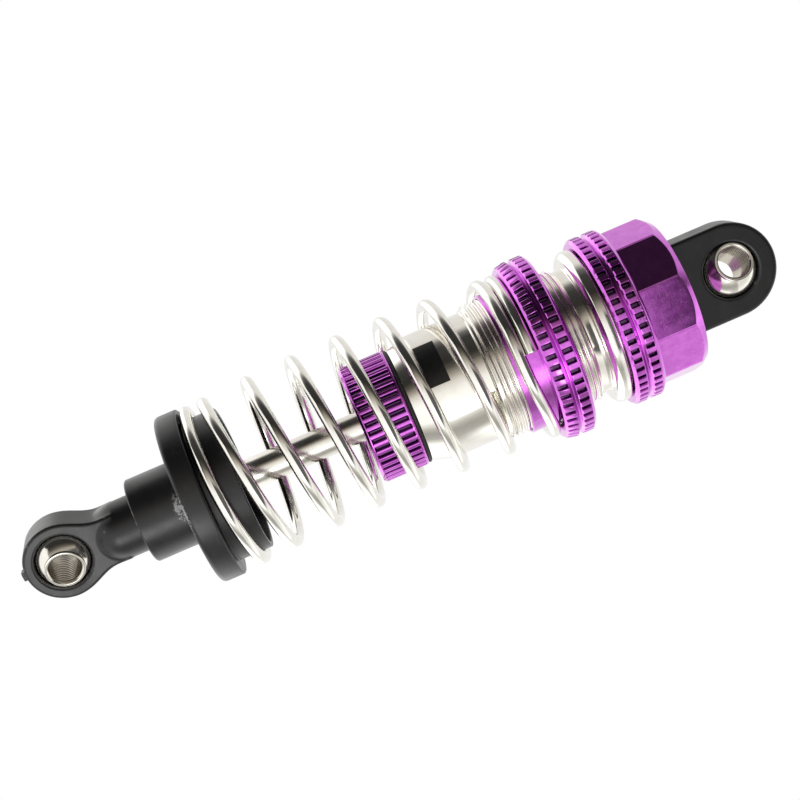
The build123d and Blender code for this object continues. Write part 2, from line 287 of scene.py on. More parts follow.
def lathe(name, corners, body, material, stands_for=(), steps=160, place=None):
    """A plain turned piece about +Z, or about another axis given by a matrix in millimetres."""
    outline = soften(corners)
    turns = np.linspace(0, tau, steps + 1)
    radii = np.tile(outline[:, 0], (len(turns), 1))
    levels = np.tile(outline[:, 1], (len(turns), 1))
    vertices = around(turns, radii, levels)
    if place is not None:
        turned = np.array(place.to_3x3()) @ vertices.T
        vertices = turned.T + np.array(place.translation)
    faces = grid_faces(len(outline), len(turns))
    # Each corner's share, kept per vertex: the materials paint shade in a bore by it.
    shade = np.tile(outline[:, 2], len(turns))
    return piece_from(name, vertices, faces, body, material, stands_for, recess_shade=shade)


# ---- Knurled rings ----


def both_sides(*columns):
    """Columns across a tooth and the gap before it, from those on one side of the tooth's middle."""
    mirrored = [(-place, depth) for place, depth in reversed(columns[1:])]
    return ((-0.50, 1.0), *mirrored, *columns)


# Where each column stands, as a share of the pitch, and how deep it is cut.
pad_columns = both_sides(
    (0.0, 0.0),
    (0.10, 0.0),
    (0.20, 0.0),
    (0.24, 0.02),
    (0.26, 0.12),
    (0.28, 0.38),
    (0.30, 0.66),
    (0.32, 0.88),
    (0.35, 0.98),
    (0.41, 1.0),
)
rib_columns = both_sides(
    (0.0, 0.0),
    (0.10, 0.01),
    (0.18, 0.03),
    (0.23, 0.09),
    (0.26, 0.24),
    (0.285, 0.48),
    (0.31, 0.72),
    (0.35, 0.90),
    (0.42, 0.98),
)


def toothed_columns(profile, count, phase=0.0):
    """Turn angles round a knurled ring from its phase, and the depth share at each."""
    pitch = tau / count
    turns = [phase + (tooth + place) * pitch for tooth in range(count) for place, _ in profile]
    shares = [share for _ in range(count) for _, share in profile]
    return np.array(turns + [turns[0] + tau]), np.array(shares + [shares[0]])


def toothed_land(radius, bottom, top, run_in=0.15):
    """Rows of a ring's land, upwards, where the gaps are cut. They run in and out on slopes."""
    steps = (0.0, 0.2, 0.4, 0.6, 0.8, 1.0)
    rows = [(radius, bottom + run_in * step, 0, step) for step in steps]
    rows += [(radius, top - run_in * step, 0, step) for step in reversed(steps)]
    return rows


def toothed_ring(radius, bottom, height, lower_chamfer, gaps):
    """A ring's outer outline, upwards: a cone, the land and a cone. The gaps may start on the lower cone."""
    top = bottom + height
    rows = []
    for _, level, _, share in toothed_land(radius, bottom + gaps[0], top - gaps[1]):
        on_cone = min(level - bottom, lower_chamfer)
        rows.append((radius - lower_chamfer + on_cone, level, 0, share))
    return [
        (radius - lower_chamfer, bottom, 0.03),
        *rows,
        (radius, top - ring_chamfer, 0.04),
        (radius - ring_chamfer, top, 0.03),
    ]


def knurled(name, corners, teeth, body, material, stands_for, reshape=None):
    """A turned piece with gaps cut into its outline, given as a profile, a count, a phase and a radius."""
    outline = soften(corners)
    profile, count, phase, cut_from = teeth
    turns, depth = toothed_columns(profile, count, phase)
    cutter = cut_from - tooth_depth * np.minimum(depth[:, None], outline[:, 2][None, :])
    cut = np.maximum(outline[:, 0][None, :] - cutter, 0) * (outline[:, 2] > 0)[None, :]
    radii = outline[:, 0][None, :] - cut
    levels = np.tile(outline[:, 1], (len(turns), 1))
    # How deep each vertex is in a tooth gap, which the purple material uses to paint shade there.
    recess_shade = cut / tooth_depth
    if reshape is not None:
        before = turns
        turns, radii, levels = reshape(turns, radii, levels)
        recess_shade = np.stack([np.interp(turns, before, row) for row in recess_shade.T], axis=1)
    vertices = around(turns, radii, levels)
    faces = grid_faces(radii.shape[1], len(turns))
    return piece_from(
        name, vertices, faces, body, material, stands_for, sharp=50, recess_shade=recess_shade.ravel()
    )


# ---- Moulded shapes, from distance functions ----


def blend_union(a, b, width):
    """The union of two distances, with a fillet about as wide as width."""
    h = np.clip(0.5 + 0.5 * (b - a) / width, 0, 1)
    return b + (a - b) * h - width * h * (1 - h)


def blend_cut(a, b, width):
    """Distance a with b taken away, with the edge eased by about width."""
    return -blend_union(-a, b, width)


def slab_of(flat, across, half, rounding):
    """A flat outline given by its distance, made into a slab with rounded edges."""
    side = flat + rounding
    up = np.abs(across) - (half - rounding)
    outside = np.sqrt(np.maximum(side, 0) ** 2 + np.maximum(up, 0) ** 2)
    return np.minimum(np.maximum(side, up), 0) + outside - rounding


def rectangle(x, y, half_x, half_y):
    """Distance to a rectangle about the origin."""
    dx, dy = np.abs(x) - half_x, np.abs(y) - half_y
    outside = np.sqrt(np.maximum(dx, 0) ** 2 + np.maximum(dy, 0) ** 2)
    return outside + np.minimum(np.maximum(dx, dy), 0)


def surface_of(distance, low, high, cell):
    """Vertices and quads of the surface where a distance function is zero, in millimetres."""
    counts = [int(ceil((b - a) / cell)) + 1 for a, b in zip(low, high)]
    axes = [a + cell * np.arange(n) for a, n in zip(low, counts)]
    values = distance(*np.meshgrid(*axes, indexing="ij"))
    inside = values < 0
    shape = tuple(n - 1 for n in counts)

    def corner(array, i, j, k):
        return array[i:i + shape[0], j:j + shape[1], k:k + shape[2]]

    bits = [(i, j, k) for i in (0, 1) for j in (0, 1) for k in (0, 1)]
    filled = sum(corner(inside, *b).astype(np.int8) for b in bits)
    active = (filled > 0) & (filled < 8)
    number = -np.ones(shape, int)
    number[active] = np.arange(active.sum())
    cells = np.argwhere(active)
    total = np.zeros((len(cells), 3))
    crossings = np.zeros(len(cells))
    for axis in range(3):
        step = np.eye(3, dtype=int)[axis]
        for b in bits:
            if b[axis]:
                continue
            first = cells + b
            second = first + step
            a = values[tuple(first.T)]
            c = values[tuple(second.T)]
            crosses = (a < 0) != (c < 0)
            share = np.where(crosses, a / np.where(crosses, a - c, 1), 0)
            total += np.where(crosses[:, None], first + share[:, None] * step, 0)
            crossings += crosses
    points = np.array(low) + cell * total / crossings[:, None]
    for _ in range(3):
        points = pulled_on_to(distance, points, cell)
    faces = []
    for axis in range(3):
        across, up = [a for a in range(3) if a != axis]
        span = [slice(1, n - 1) for n in counts]
        span[axis] = slice(0, counts[axis] - 1)
        start = inside[tuple(span)]
        span[axis] = slice(1, counts[axis])
        edges = np.argwhere(start != inside[tuple(span)])
        base = edges + [0 if a == axis else 1 for a in range(3)]
        quad = []
        for da, du in ((1, 1), (0, 1), (0, 0), (1, 0)):
            at = base.copy()
            at[:, across] -= da
            at[:, up] -= du
            quad.append(number[tuple(at.T)])
        faces.append(np.stack(quad, axis=-1))
    return points, np.concatenate(faces).tolist()


def pulled_on_to(distance, points, cell):
    """Points moved along the slope of a distance function towards its zero surface."""
    small = cell * 0.05
    slope = np.stack(
        [
            distance(*(points + small * axis).T) - distance(*(points - small * axis).T)
            for axis in np.eye(3)
        ],
        axis=-1,
    ) / (2 * small)
    reach = np.clip(distance(*points.T), -cell, cell)
    return points - (reach / np.maximum((slope**2).sum(axis=1), 0.2))[:, None] * slope


# ---- Materials ----


def shader(name, base, metallic, roughness):
    """A new material and its Principled shader."""
    material = bpy.data.materials.new(name)
    material.use_nodes = True
    principled = material.node_tree.nodes["Principled BSDF"]
    principled.inputs["Base Color"].default_value = (*base, 1)
    principled.inputs["Metallic"].default_value = metallic
    principled.inputs["Roughness"].default_value = roughness
    return material, principled


def node(material, kind, inputs=None, **settings):
    """Add a node, set its properties, and link or set its inputs."""
    made = material.node_tree.nodes.new(kind)
    for key, value in settings.items():
        setattr(made, key, value)
    for key, value in (inputs or {}).items():
        if isinstance(value, bpy.types.NodeSocket):
            material.node_tree.links.new(value, made.inputs[key])
        else:
            made.inputs[key].default_value = value
    return made


def link(material, source, target):
    material.node_tree.links.new(source, target)


def place_in_mm(material, stretch=(1, 1, 1)):
    """The object's own coordinates in millimetres, scaled by stretch."""
    where = node(material, "ShaderNodeTexCoord")
    scale = [s / MM for s in stretch]
    mapped = node(material, "ShaderNodeMapping", {"Vector": where.outputs["Object"], "Scale": scale})
    return mapped.outputs["Vector"]


def noise(material, vector, scale, detail=4.0, rough=0.55):
    """Noise from 0 to 1, with scale features per millimetre."""
    made = node(
        material, "ShaderNodeTexNoise",
        {"Vector": vector, "Scale": scale, "Detail": detail, "Roughness": rough},
    )
    return made.outputs["Fac"]


def mapped(material, value, low, high, to_low, to_high):
    """A value's range from low to high, as a range from to_low to to_high."""
    made = node(
        material, "ShaderNodeMapRange",
        {"Value": value, "From Min": low, "From Max": high, "To Min": to_low, "To Max": to_high},
    )
    return made.outputs["Result"]


def tint(material, factor, first, second):
    """A colour between two, by a factor. Each is a colour or the output of a node."""
    ends = [c if isinstance(c, bpy.types.NodeSocket) else (*c, 1) for c in (first, second)]
    made = node(material, "ShaderNodeMix", {0: factor, 6: ends[0], 7: ends[1]}, data_type="RGBA")
    return made.outputs[2]


def bump(material, principled, layers):
    """Bump layers of (height, strength, distance in millimetres), one on the other."""
    normal = None
    for height, strength, depth in layers:
        inputs = {"Height": height, "Strength": strength, "Distance": depth * MM}
        if normal is not None:
            inputs["Normal"] = normal
        normal = node(material, "ShaderNodeBump", inputs).outputs["Normal"]
    link(material, normal, principled.inputs["Normal"])


def turned_metal(name, bright, dull, roughness, lines=0.25):
    """Metal with turning lines, faint blotches and fine specks, and painted shade darkening its bores."""
    material, principled = shader(name, bright, 1.0, roughness)
    place = place_in_mm(material)
    blotches = noise(material, place, 0.55, 3.0)
    colour = tint(material, mapped(material, blotches, 0.35, 0.7, 0, 1), bright, dull)
    # Painted shade: the base colour goes dark brown by how deep in a bore each point is.
    bore_shade = node(material, "ShaderNodeAttribute", attribute_name="recess_shade").outputs["Fac"]
    link(material, tint(material, bore_shade, colour, (0.30, 0.27, 0.22)), principled.inputs["Base Color"])
    smears = noise(material, place_in_mm(material, (1, 1, 0.25)), 1.3, 5.0, 0.7)
    link(material, mapped(material, smears, 0.3, 0.75, roughness * 0.7, roughness * 1.6),
         principled.inputs["Roughness"])
    turning = noise(material, place_in_mm(material, (0.03, 0.03, 1)), 9.0, 3.0, 0.7)
    specks = noise(material, place, 6.0, 2.0)
    bump(material, principled, [
        (turning, lines, 0.004),
        (mapped(material, specks, 0.68, 0.8, 0, 1), 0.25, 0.01),
    ])
    return material, principled


def make_nickel():
    return turned_metal("nickel_plate", (0.86, 0.845, 0.79), (0.80, 0.77, 0.70), 0.10)[0]


def make_steel():
    return turned_metal("polished_steel", (0.84, 0.82, 0.76), (0.76, 0.73, 0.66), 0.13, 0.35)[0]


def make_purple():
    """Bright purple anodising, with painted shade darkening the tooth gaps, mottled and with a few pale
    specks.
    """
    material, principled = shader("purple_anodising", (0.62, 0.14, 0.68), 1.0, 0.16)
    place = place_in_mm(material)
    blotches = noise(material, place, 0.9, 5.0, 0.7)
    colour = tint(
        material, mapped(material, blotches, 0.35, 0.7, 0, 1), (0.66, 0.16, 0.72), (0.52, 0.085, 0.58)
    )
    specks = mapped(material, noise(material, place, 5.0, 2.0), 0.70, 0.76, 0, 1)
    colour = tint(material, specks, colour, (0.85, 0.45, 0.85))
    # Painted shade: the base colour goes near black by how deep in a tooth gap each point is.
    gaps = node(material, "ShaderNodeAttribute", attribute_name="recess_shade").outputs["Fac"]
    colour = tint(material, mapped(material, gaps, 0.12, 0.7, 0, 0.95), colour, (0.035, 0.004, 0.05))
    link(material, colour, principled.inputs["Base Color"])
    smears = noise(material, place_in_mm(material, (1, 1, 0.3)), 1.6, 5.0, 0.7)
    link(material, mapped(material, smears, 0.3, 0.75, 0.07, 0.15), principled.inputs["Roughness"])
    turning = noise(material, place_in_mm(material, (0.03, 0.03, 1)), 9.0, 3.0, 0.7)
    bump(material, principled, [(turning, 0.2, 0.004), (blotches, 0.15, 0.02), (specks, 0.3, 0.01)])
    principled.inputs["Specular Tint"].default_value = (1.0, 0.8, 1.0, 1)
    principled.inputs["Coat Weight"].default_value = 0.8
    principled.inputs["Coat Roughness"].default_value = 0.07
    return material


def make_wire():
    """Bright drawn wire, with faint marks along and across it."""
    material, principled = shader("spring_wire", (0.85, 0.84, 0.79), 1.0, 0.1)
    place = place_in_mm(material)
    blotches = noise(material, place, 1.1, 4.0)
    dulled = mapped(material, blotches, 0.3, 0.75, 0, 1)
    colour = tint(material, dulled, (0.86, 0.85, 0.80), (0.78, 0.76, 0.70))
    link(material, colour, principled.inputs["Base Color"])
    link(material, mapped(material, blotches, 0.3, 0.75, 0.07, 0.16), principled.inputs["Roughness"])
    marks = noise(material, place, 7.0, 4.0, 0.7)
    bump(material, principled, [(marks, 0.12, 0.006)])
    return material


def make_black_plastic(name, scuffs=()):
    """Moulded black nylon: satin, finely grained, paler at its edges and where it's rubbed or scuffed."""
    material, principled = shader(name, (0.014, 0.014, 0.015), 0.0, 0.33)
    place = place_in_mm(material)
    rubbed = mapped(material, noise(material, place, 0.8, 5.0, 0.65), 0.55, 0.85, 0, 1)
    colour = tint(material, rubbed, (0.009, 0.009, 0.010), (0.024, 0.024, 0.026))
    edges = node(material, "ShaderNodeNewGeometry").outputs["Pointiness"]
    colour = tint(material, mapped(material, edges, 0.53, 0.60, 0, 0.6), colour, (0.11, 0.11, 0.115))
    for stretch, centre in scuffs:
        from_centre = node(
            material, "ShaderNodeVectorMath",
            {0: place_in_mm(material, stretch), 1: centre}, operation="DISTANCE",
        ).outputs["Value"]
        near = mapped(material, from_centre, 0.3, 1.1, 0.22, -0.14)
        flecks = node(
            material, "ShaderNodeMath", {0: noise(material, place, 3.2, 5.0, 0.75), 1: near}, operation="ADD"
        ).outputs[0]
        colour = tint(material, mapped(material, flecks, 0.62, 0.74, 0, 0.85), colour, (0.42, 0.42, 0.43))
    link(material, colour, principled.inputs["Base Color"])
    clouds = noise(material, place, 0.45, 3.0)
    link(material, mapped(material, clouds, 0.3, 0.7, 0.27, 0.38), principled.inputs["Roughness"])
    grain = noise(material, place, 9.0, 3.0, 0.7)
    flow = noise(material, place_in_mm(material, (1, 1, 0.3)), 1.2, 2.0)
    bump(material, principled, [(flow, 0.2, 0.02), (grain, 0.3, 0.010)])
    return material


def make_rubber():
    """Black moulded rubber with a dull, dusty skin."""
    material, principled = shader("black_rubber", (0.012, 0.012, 0.013), 0.0, 0.6)
    place = place_in_mm(material)
    dust = mapped(material, noise(material, place, 1.5, 5.0), 0.45, 0.8, 0, 1)
    link(material, tint(material, dust, (0.010, 0.010, 0.011), (0.03, 0.03, 0.03)),
         principled.inputs["Base Color"])
    bump(material, principled, [(noise(material, place, 8.0, 3.0), 0.3, 0.01)])
    return material


def make_white_plastic():
    """Machined white acetal."""
    material, principled = shader("white_acetal", (0.8, 0.79, 0.76), 0.0, 0.35)
    principled.inputs["Subsurface Weight"].default_value = 0.1
    principled.inputs["Subsurface Radius"].default_value = (MM, MM, MM)
    place = place_in_mm(material)
    shade = noise(material, place, 0.9, 3.0)
    colour = tint(material, shade, (0.82, 0.81, 0.78), (0.74, 0.73, 0.70))
    link(material, colour, principled.inputs["Base Color"])
    turning = noise(material, place_in_mm(material, (0.03, 0.03, 1)), 8.0, 2.0)
    bump(material, principled, [(turning, 0.4, 0.01)])
    return material


def make_label():
    """Black printing with a faint mesh and a satin face."""
    material, principled = shader("black_label", (0.010, 0.010, 0.011), 0.0, 0.35)
    place = place_in_mm(material)
    worn = mapped(material, noise(material, place, 3.0, 5.0, 0.7), 0.55, 0.8, 0, 1)
    colour = tint(material, worn, (0.008, 0.008, 0.009), (0.04, 0.04, 0.04))
    link(material, colour, principled.inputs["Base Color"])
    bump(material, principled, [(noise(material, place, 10.0, 2.0), 0.2, 0.006)])
    return material


nickel = make_nickel()
steel = make_steel()
purple = make_purple()
wire = make_wire()
black_plastic = make_black_plastic("black_nylon")
# A scuff is a stretch of the place in millimetres, and its centre there.
scuffed_plastic = make_black_plastic("black_nylon_scuffed", [
    ((0.45, 0.45, 1.4), (0.14, -1.91, 17.2)),
    ((0.30, 0.30, 2.0), (0.24, -2.57, 26.2)),
])
rubber = make_rubber()
white_plastic = make_white_plastic()
label = make_label()

slot_materials = {
    "nickel_plated": nickel,
    "polished_steel": steel,
    "purple_anodised": purple,
    "spring_wire": wire,
    "black_plastic": black_plastic,
    "black_rubber": rubber,
    "white_plastic": white_plastic,
    "black_label": label,
}
for part in frame["record"]["subparts"]:
    shown = frame["nodes"][part["node"]]
    shown.data.materials.clear()
    shown.data.materials.append(slot_materials[part["material_slot"]])
    shown.data.shade_smooth()
    shown.data.set_sharp_from_angle(angle=radians(35))


# ---- Pivot balls ----


def pivot_ball(name, node_name, body, mount):
    """A polished ball with a flat-ended neck at each side, bored through and countersunk."""
    shoulder = sqrt(ball_r**2 - ball_neck_r**2)
    sphere = [
        (ball_r * cos(a), ball_r * sin(a), 0)
        for a in np.linspace(-atan2(shoulder, ball_neck_r), atan2(shoulder, ball_neck_r), 40)
    ]
    bore_end = ball_half - ball_bore_chamfer
    marks = np.arange(ball_half - 0.3, -ball_half + 0.25, -ball_mark_pitch)
    # The last number of each bore corner is how much painted shade the steel gets there.
    bore = [(ball_bore_r - ball_mark_depth * (number % 2), z, 0.02, 0.9) for number, z in enumerate(marks)]
    corners = [
        *sphere,
        (ball_neck_r, ball_half, 0.1),
        (ball_bore_r + ball_bore_chamfer, ball_half, 0.03),
        (ball_bore_r, bore_end, 0.03, 0.5),
        *bore,
        (ball_bore_r, -bore_end, 0.03, 0.5),
        (ball_bore_r + ball_bore_chamfer, -ball_half, 0.03),
        (ball_neck_r, -ball_half, 0.1),
    ]
    turn = Vector((0, 0, 1)).rotation_difference(Vector(mount["axis"])).to_matrix().to_4x4()
    place = Matrix.Translation(Vector(mount["pos_m"]) / MM) @ turn
    return lathe(name, corners, body, steel, [node_name], steps=128, place=place)


pivot_ball("lower_ball", "lower_pivot_ball", "lower_ball", mounts["lower_eye"])
pivot_ball("upper_ball", "upper_pivot_ball", "upper_ball", mounts["upper_eye"])


# ---- Rod end and upper eyelet ----


def eye_frame(turn, height):
    """A function that gives a point's place along the shock, across the eye and through it."""
    normal = facing(turn)
    side = Vector((0, 0, 1)).cross(normal)

    def local(x, y, z):
        return z - height, x * side.x + y * side.y, x * normal.x + y * normal.y

    return local


def socket_cut(body, along, across, through, half, mouth_r):
    """Cut a ball socket with an eased mouth on both faces."""
    ball = np.sqrt(along**2 + across**2 + through**2) - socket_r
    out = np.sqrt(along**2 + across**2)
    mouth = (out - mouth_r + (half - np.abs(through)) * 0.5) * 0.89
    cut = np.maximum(mouth, 1.0 - np.abs(through))
    return blend_cut(blend_cut(body, cut, 0.12), ball, 0.08)


def make_rod_end():
    local = eye_frame(rod_end_turn, 0)
    top = heights("lower_rod_end")[1]

    def distance(x, y, z):
        along, across, through = local(x, y, z)
        eye = np.sqrt(along**2 + across**2) - rod_end_eye_r
        web = rectangle(along - shank_nose_z / 2, across, shank_nose_z / 2, rod_end_web / 2)
        flat = slab_of(blend_union(eye, web, 1.5), through, rod_end_half, 0.3)
        radial = np.sqrt(x**2 + y**2)
        nose = np.sqrt(radial**2 + np.minimum(z - shank_nose_z, 0) ** 2) - shank_r
        shank = np.maximum(nose, z - top)
        solid = blend_union(flat, shank, 0.3)
        gate = np.maximum(
            rectangle(along + rod_end_eye_r, across, gate_reach, gate_half),
            np.abs(through - 1.0) - gate_half,
        )
        solid = blend_union(solid, gate, 0.1)
        solid = socket_cut(solid, along, across, through, rod_end_half, rod_end_mouth_r)
        return np.maximum(solid, -np.maximum(radial - shaft_thread_r, shaft_hole_floor - z))

    low = (-4.4, -4.4, -4.6)
    high = (4.4, 4.4, top + 0.3)
    points, faces = surface_of(distance, low, high, moulded_cell)
    return piece_from(
        "rod_end", points, faces, "rod", black_plastic, ["lower_rod_end"], sharp=60
    )


def make_eyelet():
    local = eye_frame(eyelet_turn, eye_to_eye)
    low_z = heights("upper_eyelet")[0]
    foot = heights("top_cap")[1]

    def distance(x, y, z):
        along, across, through = local(x, y, z)
        eye = np.sqrt(along**2 + across**2) - eyelet_half_width
        length = eye_to_eye - foot
        web = rectangle(along + length / 2, across, length / 2, eyelet_half_width)
        solid = slab_of(np.minimum(eye, web), through, eyelet_half, 0.4)
        solid = np.maximum(solid, foot - z)
        radial = np.sqrt(x**2 + y**2)
        stub = np.maximum(radial - eyelet_stub_r, np.maximum(low_z - z, z - foot - 0.5))
        barb = np.maximum(radial - eyelet_barb_r, np.maximum(low_z - z, z - low_z - eyelet_barb_height))
        solid = np.minimum(solid, np.minimum(stub, barb))
        return socket_cut(solid, along, across, through, eyelet_half, eyelet_mouth_r)

    low = (-5.2, -3.2, low_z - 0.2)
    high = (5.2, 3.2, eye_to_eye + 5)
    points, faces = surface_of(distance, low, high, moulded_cell)
    return piece_from(
        "eyelet", points, faces, "barrel", black_plastic, ["upper_eyelet"], sharp=60
    )


make_rod_end()
make_eyelet()


# ---- Lower spring cup ----


def make_spring_cup():
    """The cup, turned and then slotted, with the slot's mouth rounded at the boss's rim."""
    low, high = heights("lower_spring_cup")
    hub_bore_r = shank_r + hub_gap
    ceiling = heights("lower_rod_end")[1] + hub_gap
    inner_r = cup_boss_r - cup_boss_wall
    corners = [
        (hub_bore_r, low, 0.1),
        (hub_r - hub_chamfer, low, 0.04),
        (hub_r, low + hub_chamfer, 0.04),
        (hub_r, cup_flange_bottom, 0.25),
        (cup_flange_r, cup_flange_bottom, 0.5),
        (cup_flange_r, cup_flange_top - cup_flange_chamfer, 0.05),
        (cup_flange_r - cup_flange_chamfer, cup_flange_top, 0.05),
        (cup_boss_r, cup_flange_top, 0.1),
        (cup_boss_r, high, 0.14),
        (inner_r, high, 0.14),
        (inner_r, cup_floor, 0.4),
        (cup_slot_half, cup_floor, 0.1),
        (cup_slot_half, ceiling, 0.05),
        (hub_bore_r, ceiling, 0.05),
    ]
    cup = lathe(
        "spring_cup", corners, "lower_cup", scuffed_plastic, ["lower_spring_cup"], 192
    )
    flare = cup_slot_flare
    side = [(cup_slot_half, low - 1), (cup_slot_half, high - flare)]
    side += [
        (cup_slot_half + flare * (1 - cos(a)), high - flare + flare * sin(a))
        for a in np.linspace(0, pi / 2, 9)[1:]
    ]
    side += [(cup_slot_half + flare, high + 1)]
    outline = side + [(-across, level) for across, level in reversed(side)]
    out = Vector((cos(radians(cup_slot_turn)), sin(radians(cup_slot_turn)), 0))
    across = Vector((-out.y, out.x, 0))
    cutter_mesh = bpy.data.meshes.new("slot_cutter")
    reach = cup_flange_r + 2
    near = [across * a + Vector((0, 0, z)) for a, z in outline]
    points = [p * MM for p in near] + [(p + out * reach) * MM for p in near]
    count = len(outline)
    faces = [tuple(range(count)), tuple(range(2 * count - 1, count - 1, -1))]
    faces += [(i, i + count, (i + 1) % count + count, (i + 1) % count) for i in range(count)]
    cutter_mesh.from_pydata(points, [], faces)
    cutter = bpy.data.objects.new("slot_cutter", cutter_mesh)
    bpy.context.scene.collection.objects.link(cutter)
    cut = cup.modifiers.new("slot", "BOOLEAN")
    cut.operation = "DIFFERENCE"
    cut.solver = "EXACT"
    cut.object = cutter
    bpy.context.view_layer.update()
    done = bpy.data.meshes.new_from_object(cup.evaluated_get(bpy.context.evaluated_depsgraph_get()))
    cup.modifiers.clear()
    cup.data = done
    done.shade_smooth()
    done.set_sharp_from_angle(angle=radians(38))
    bpy.data.objects.remove(cutter)


make_spring_cup()


# ---- Shaft and gasket ----

shaft_low, shaft_high = heights("piston_shaft")
shank_top = heights("lower_rod_end")[1]
lathe(
    "shaft",
    [
        (0, shaft_low, 0),
        (shaft_thread_r, shaft_low, 0.1),
        (shaft_thread_r, shank_top, 0),
        (shaft_r, shank_top, 0.1),
        (shaft_r, shaft_high, 0.2),
        (0, shaft_high, 0),
    ],
    "rod", steel, ["piston_shaft"], 96,
)

gasket_low, gasket_high = heights("seal_gasket")
lathe(
    "gasket",
    [
        (seal_spigot_r, gasket_low, 0.05),
        (gasket_r, gasket_low, 0.2),
        (gasket_r, gasket_high, 0.2),
        (seal_spigot_r, gasket_high, 0.05),
    ],
    "barrel", rubber, ["seal_gasket"],
)


# ---- Shock body, with its true helical thread ----


def make_body():
    """The body's surface is one grid. Its thread rows climb with the turn, and end flat at each shoulder."""
    low, high = heights("shock_body")
    below = soften([
        (seal_bore_r, low, 0.1),
        (seal_spigot_r, low, 0.15),
        (seal_spigot_r, body_bottom, 0),
        (body_foot_r, body_bottom, 0.12),
        (body_r, body_taper_top, 0.3),
        (body_r, thread_bottom, 0),
    ])
    above = soften([
        (body_r, thread_top, 0),
        (body_r, neck_top, 0.2),
        (body_flange_r - 0.5, neck_top, 0.15),
        (body_flange_r, neck_top + 0.5, 0.15),
        (body_flange_r, body_flange_top, 0.15),
        (cap_thread_r, body_flange_top, 0.05),
        (cap_thread_r, high, 0.2),
        (body_bore_r, high, 0.2),
        (body_bore_r, seal_floor_top, 0.1),
        (seal_floor_hole_r, seal_floor_top, 0.05),
        (seal_floor_hole_r, seal_floor, 0.05),
        (seal_bore_r, seal_floor, 0.05),
    ])
    profile = np.array((0, 0.04, 0.28, 0.62, 0.9, 1.0, 0.9, 0.62, 0.28, 0.04))
    per_pitch = len(profile)
    pitches = int(round((thread_top - thread_bottom) / thread_pitch))
    steps = np.arange(-per_pitch, (pitches + 1) * per_pitch + 1)
    turns = np.linspace(0, tau, 161)
    climb = thread_pitch * turns[:, None] / tau
    free = thread_bottom + steps[None, :] / per_pitch * thread_pitch + climb
    levels = np.clip(free, thread_bottom, thread_top)
    edge = np.minimum(levels - thread_bottom, thread_top - levels)
    fade = np.clip(edge / (0.6 * thread_pitch), 0, 1)
    root = body_r + (thread_minor_r - body_r) * fade
    radii = root + (thread_major_r - thread_minor_r) * profile[steps % per_pitch][None, :] * fade
    spread = np.ones((len(turns), 1))
    radii = np.hstack((spread * below[:, 0], radii, spread * above[:, 0]))
    levels = np.hstack((spread * below[:, 1], levels, spread * above[:, 1]))
    faces = grid_faces(radii.shape[1], len(turns))
    return piece_from(
        "threaded_body", around(turns, radii, levels), faces,
        "barrel", nickel, ["shock_body"], sharp=42,
    )


make_body()


# ---- Knurled seal cap, collar and top cap ----

seal_cap_low, seal_cap_high = heights("seal_cap")
foot_chamfer, head_chamfer = seal_cap_chamfers
knurled(
    "seal_cap_ring",
    [
        (seal_cap_hole_r, seal_cap_low, 0.1),
        (seal_cap_r - foot_chamfer, seal_cap_low, 0.1),
        (seal_cap_r, seal_cap_low + foot_chamfer, 0.1),
        *toothed_land(seal_cap_r, seal_cap_low + seal_cap_gaps[0], seal_cap_high - seal_cap_gaps[1], 0.2),
        (seal_cap_r, seal_cap_high - head_chamfer, 0.06),
        (seal_cap_r - head_chamfer, seal_cap_high, 0.06),
        (seal_spigot_r, seal_cap_high, 0.05),
        (seal_spigot_r, seal_cap_floor, 0.05),
        (seal_cap_hole_r, seal_cap_floor, 0.05),
    ],
    (rib_columns, seal_cap_teeth, radians(seal_cap_tooth_turn), seal_cap_r),
    "barrel", purple, ["seal_cap"],
)

collar_low, collar_high = heights("spring_collar")
collar_split = collar_seat + collar_lower_ring + ring_groove
knurled(
    "collar_ring",
    [
        (collar_bore_r, collar_low, 0.05),
        (collar_boss_r, collar_low, 0.08),
        (collar_boss_r, collar_seat, 0.03),
        *toothed_ring(collar_r, collar_seat, collar_lower_ring, collar_lower_chamfer, collar_lower_gaps),
        *toothed_ring(collar_r, collar_split, collar_upper_ring, ring_chamfer, collar_upper_gaps),
        (collar_bore_r, collar_high, 0.15),
    ],
    (pad_columns, collar_teeth, radians(collar_tooth_turn), collar_r),
    "collar", purple, ["spring_collar"],
)


